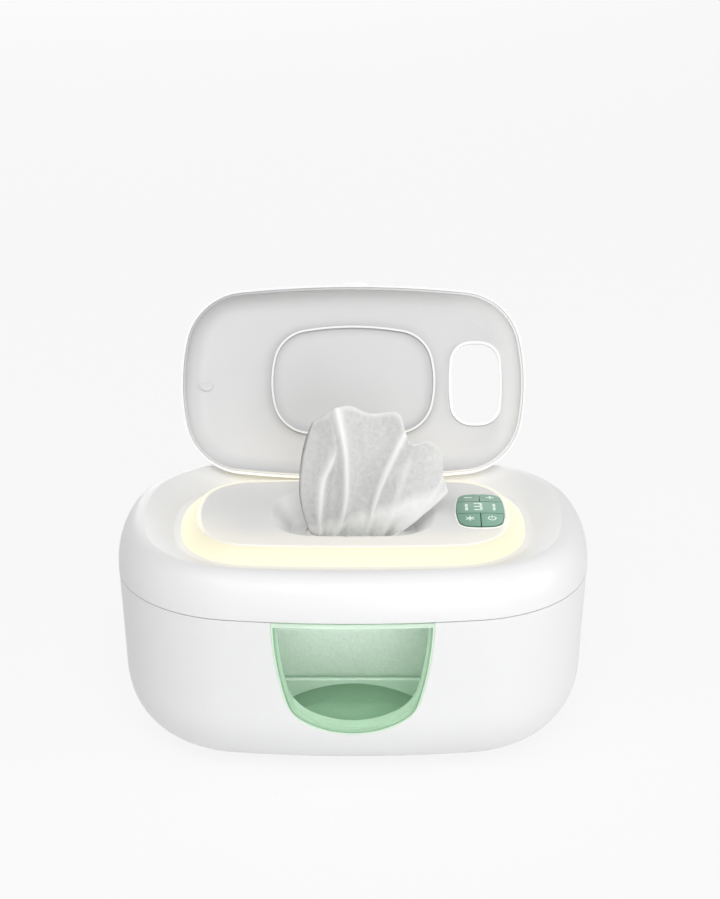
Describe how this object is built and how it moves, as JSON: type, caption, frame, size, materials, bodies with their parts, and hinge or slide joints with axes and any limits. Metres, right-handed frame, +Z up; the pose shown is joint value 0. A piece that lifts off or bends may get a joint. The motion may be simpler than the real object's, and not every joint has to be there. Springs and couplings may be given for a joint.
{
  "type": "baby wipe warmer",
  "caption": "Oval white wipe warmer with a glowing ring round a raised deck, a green key panel, a green front window, a hinged cover and an open flip lid with a wipe drawn up.",
  "frame": {"origin": "middle of the plane that the foot ring stands on, under the middle of the body", "axes": "+Z up, the window faces -Y, +X to the right seen from the front"},
  "size_m": [0.24, 0.1924, 0.2005],
  "materials": {
    "white_shell": "satin",
    "grey_rubber": "matt",
    "white_floor": "satin",
    "zinc_screws": "zinc plated",
    "green_clear": "clear tinted plastic",
    "white_tank": "satin",
    "sheet_aluminium": "mill",
    "orange_silicone": "matt",
    "grey_felt": "felt",
    "cutout_case": "moulded",
    "green_board": "circuit board",
    "black_inlet": "moulded",
    "wet_wipes": "wet nonwoven",
    "green_sponge": "open cell sponge",
    "steel_pins": "ground",
    "glow_plastic": "milky, lit from inside",
    "white_reflector": "gloss",
    "white_board": "solder mask",
    "lamp_phosphor": "phosphor",
    "white_deck": "satin",
    "white_silicone": "soft",
    "white_gloss": "gloss",
    "dark_green_silicone": "soft",
    "switch_case": "moulded",
    "display_case": "moulded",
    "green_key_plastic": "satin gloss",
    "white_liner": "satin"
  },
  "bodies": {
    "base": {"base_shell": "white_shell", "foot_ring": "grey_rubber", "bottom_cover": "white_floor", "bottom_screws": "zinc_screws", "viewing_window": "green_clear", "tank": "white_tank", "heat_spreader": "sheet_aluminium", "heating_mat": "orange_silicone", "insulation": "grey_felt", "thermal_cutout": "cutout_case", "power_board": "green_board", "power_inlet": "black_inlet", "wipe_stack": "wet_wipes", "moisture_sponge": "green_sponge", "main_hinge_pins": "steel_pins"},
    "cover": {"cover_shell": "white_shell", "flip_hinge_pins": "steel_pins", "light_ring": "glow_plastic", "light_trough": "white_reflector", "lamp_board": "white_board", "lamps": "lamp_phosphor", "deck": "white_deck", "membrane": "white_silicone", "cover_liner": "white_floor", "cover_seal": "white_silicone", "cover_screws": "zinc_screws", "deck_screws": "zinc_screws", "panel_frame": "white_gloss", "key_carrier": "dark_green_silicone", "control_board": "green_board", "key_switches": "switch_case", "display_module": "display_case", "display_lens": "green_key_plastic", "pulled_wipe": "wet_wipes"},
    "lid": {"lid_shell": "white_shell", "lid_liner": "white_liner", "lid_gasket": "white_silicone", "lid_collar": "white_gloss"},
    "key_minus": {"key_minus": "green_key_plastic"},
    "key_plus": {"key_plus": "green_key_plastic"},
    "key_light": {"key_light": "green_key_plastic"},
    "key_power": {"key_power": "green_key_plastic"}
  },
  "joints": [
    {"name": "cover_hinge", "type": "hinge", "parent": "base", "child": "cover", "pos_m": [0, 0.087, 0.08995], "axis": [-1, 0, 0], "range_deg": [0, 80]},
    {"name": "lid_hinge", "type": "hinge", "parent": "cover", "child": "lid", "pos_m": [0, 0.0522, 0.1081], "axis": [1, 0, 0], "range_deg": [0, 120], "deforming": ["pulled_wipe"]},
    {"name": "key_minus_slide", "type": "slide", "parent": "cover", "child": "key_minus", "axis": [0, 0, -1], "range_m": [0, 0.0005], "stiffness_N_per_m": 300},
    {"name": "key_plus_slide", "type": "slide", "parent": "cover", "child": "key_plus", "axis": [0, 0, -1], "range_m": [0, 0.0005], "stiffness_N_per_m": 300},
    {"name": "key_light_slide", "type": "slide", "parent": "cover", "child": "key_light", "axis": [0, 0, -1], "range_m": [0, 0.0005], "stiffness_N_per_m": 300},
    {"name": "key_power_slide", "type": "slide", "parent": "cover", "child": "key_power", "axis": [0, 0, -1], "range_m": [0, 0.0005], "stiffness_N_per_m": 300}
  ]
}
